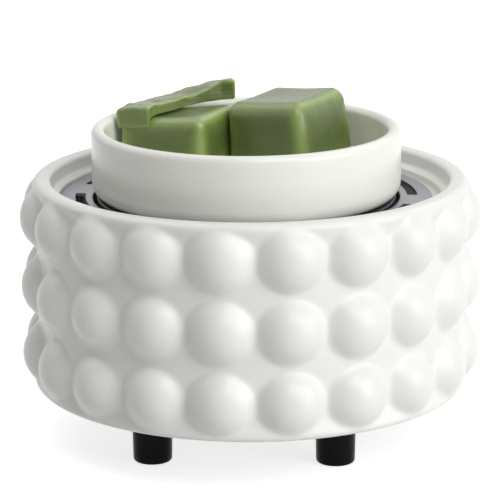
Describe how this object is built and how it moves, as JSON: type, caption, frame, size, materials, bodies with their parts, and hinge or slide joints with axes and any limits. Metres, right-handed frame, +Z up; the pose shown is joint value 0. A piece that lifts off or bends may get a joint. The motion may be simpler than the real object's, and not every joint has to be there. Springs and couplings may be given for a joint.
{
  "type": "wax melt warmer",
  "caption": "Round ceramic electric wax melt warmer with domed knobs, a loose dish holding wax pieces on a hot plate, a vented metal top plate and short feet.",
  "frame": {"origin": "on the table under the centre of the ceramic shell, level with the bottoms of the feet", "axes": "+Z up, -Y to the front, +Y to the back where the cord's inlet is, +X to the right"},
  "size_m": [0.1488, 0.1488, 0.1166],
  "materials": {
    "white_glaze": "glossy warm white glaze",
    "cream_glaze": "glossy cream glaze",
    "green_wax": "translucent olive wax with a waxy sheen",
    "grey_plate": "satin grey coating",
    "black_plate": "satin black heat proof coating",
    "mica": "pale translucent mica sheet",
    "ribbon_alloy": "dull resistance alloy",
    "fibre": "matte white ceramic fibre",
    "zinc_steel": "bright zinc plate",
    "fastener_steel": "bright zinc plate",
    "shield_metal": "bright rolled sheet",
    "black_housing": "fine matte texture",
    "black_feet": "glossy black",
    "grey_rubber": "soft grey silicone",
    "black_rubber": "matte black rubber",
    "porcelain": "unglazed white porcelain",
    "brass_screw": "plain brass",
    "fuse_case": "plain metal case",
    "sleeving": "woven white sleeving",
    "lead_red": "silicone covering",
    "lead_white": "silicone covering"
  },
  "bodies": {
    "warmer": {"ceramic_shell": "white_glaze", "top_plate": "grey_plate", "plate_collar": "grey_plate", "hot_plate": "black_plate", "mica_upper": "mica", "mica_lower": "mica", "heating_ribbon": "ribbon_alloy", "insulation_pad": "fibre", "plate_gasket": "fibre", "heater_carrier": "zinc_steel", "upper_posts": "zinc_steel", "lower_posts": "zinc_steel", "plate_studs": "zinc_steel", "fuse_clip": "zinc_steel", "heater_washer": "fastener_steel", "heater_nut": "fastener_steel", "base_screws": "fastener_steel", "foot_screws": "fastener_steel", "block_screw": "fastener_steel", "fuse_screws": "fastener_steel", "heat_shield": "shield_metal", "base_pan": "black_housing", "foot_front_left": "black_feet", "foot_front_right": "black_feet", "foot_rear_left": "black_feet", "foot_rear_right": "black_feet", "shell_cushion": "grey_rubber", "cord_grommet": "black_rubber", "terminal_block": "porcelain", "terminal_screws": "brass_screw", "thermal_fuse": "fuse_case", "fuse_sleeve": "sleeving", "heater_lead_live": "lead_red", "heater_lead_neutral": "lead_white", "fuse_lead": "lead_white"},
    "dish": {"wax_dish": "cream_glaze"},
    "right_wax": {"wax_cube_right": "green_wax"},
    "left_wax": {"wax_cube_left": "green_wax"},
    "slab_wax": {"wax_slab_top": "green_wax"}
  },
  "joints": [
    {"name": "dish_lift", "type": "slide", "parent": "warmer", "child": "dish", "axis": [0, 0, 1], "range_m": [0, 0.06]},
    {"name": "right_wax_lift", "type": "slide", "parent": "dish", "child": "right_wax", "axis": [0, 0, 1], "range_m": [0, 0.05]},
    {"name": "left_wax_lift", "type": "slide", "parent": "dish", "child": "left_wax", "axis": [0, 0, 1], "range_m": [0, 0.05]},
    {"name": "slab_wax_lift", "type": "slide", "parent": "left_wax", "child": "slab_wax", "axis": [0, 0, 1], "range_m": [0, 0.04]}
  ]
}
